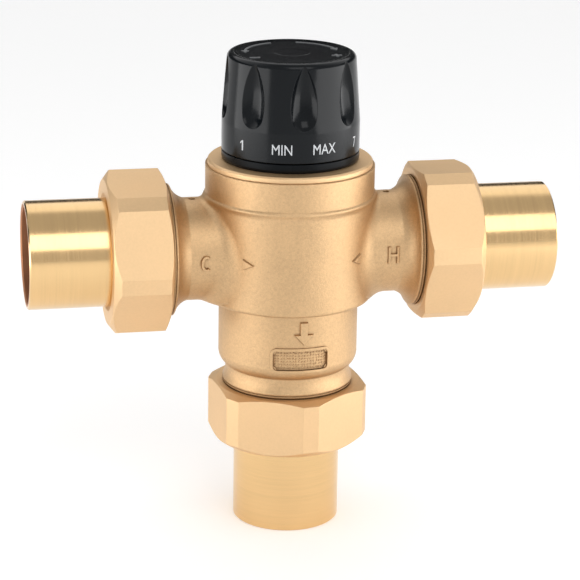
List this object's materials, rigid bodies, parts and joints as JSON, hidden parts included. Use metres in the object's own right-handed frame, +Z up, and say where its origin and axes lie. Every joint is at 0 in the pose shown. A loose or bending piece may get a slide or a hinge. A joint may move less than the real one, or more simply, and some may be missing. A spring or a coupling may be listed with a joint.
{
  "type": "mixing valve",
  "caption": "Three-way brass mixing valve: forged tee body, union nuts with solder tails, numbered black setting knob and a working temperature cartridge.",
  "frame": {"origin": "centre of the mixed outlet tail's end face, the lowest face of the valve", "axes": "+Z up the knob's axis, +X towards the hot inlet, -X towards the cold inlet, -Y is the front with the MIN and MAX labels"},
  "size_m": [0.1568, 0.0508, 0.1439],
  "materials": {
    "cast_brass": "matte, bead-blasted",
    "nut_brass": "satin, machined",
    "tail_brass": "bright, turned",
    "seat_brass": "turned",
    "fibre": "matte fibre",
    "rubber": "matte",
    "black_plastic": "satin gloss",
    "ring_plastic": "satin gloss",
    "cap_plastic": "satin gloss",
    "plain_steel": "satin",
    "spring_steel": "bright wire",
    "copper_cup": "satin copper",
    "moulding": "matte moulding"
  },
  "bodies": {
    "valve": {"body": "cast_brass", "bonnet": "cast_brass", "bonnet_oring": "rubber", "shuttle_seal": "rubber", "base_ring": "ring_plastic", "seat_ring": "seat_brass", "spring_perch": "plain_steel", "return_spring": "spring_steel", "tail_cold": "tail_brass", "nut_cold": "nut_brass", "gasket_cold": "fibre", "tail_hot": "tail_brass", "nut_hot": "nut_brass", "gasket_hot": "fibre", "tail_mixed": "tail_brass", "nut_mixed": "nut_brass", "gasket_mixed": "fibre"},
    "knob": {"knob": "black_plastic", "knob_cap": "cap_plastic", "knob_screw": "plain_steel", "spindle": "seat_brass", "spindle_circlip": "plain_steel", "spindle_oring_lower": "rubber", "spindle_oring_upper": "rubber"},
    "pusher": {"pusher": "seat_brass", "overtravel_clip": "plain_steel", "overtravel_cup": "seat_brass", "element_piston": "plain_steel", "overtravel_spring": "spring_steel"},
    "shuttle": {"shuttle": "moulding", "wax_element": "copper_cup"}
  },
  "joints": [
    {"name": "knob_turn", "type": "hinge", "parent": "valve", "child": "knob", "pos_m": [0, 0, 0.125], "axis": [0, 0, 1], "range_deg": [-162, 162]},
    {"name": "pusher_travel", "type": "slide", "parent": "valve", "child": "pusher", "axis": [0, 0, 1], "range_m": [-0.00068, 0.00068]},
    {"name": "shuttle_stroke", "type": "slide", "parent": "pusher", "child": "shuttle", "axis": [0, 0, 1], "range_m": [-0.0008, 0.0008], "deforming": ["return_spring"]}
  ],
  "couplings": [
    {"joint": "knob_turn", "follows": "pusher_travel", "rad_per_m": 4188.8}
  ]
}
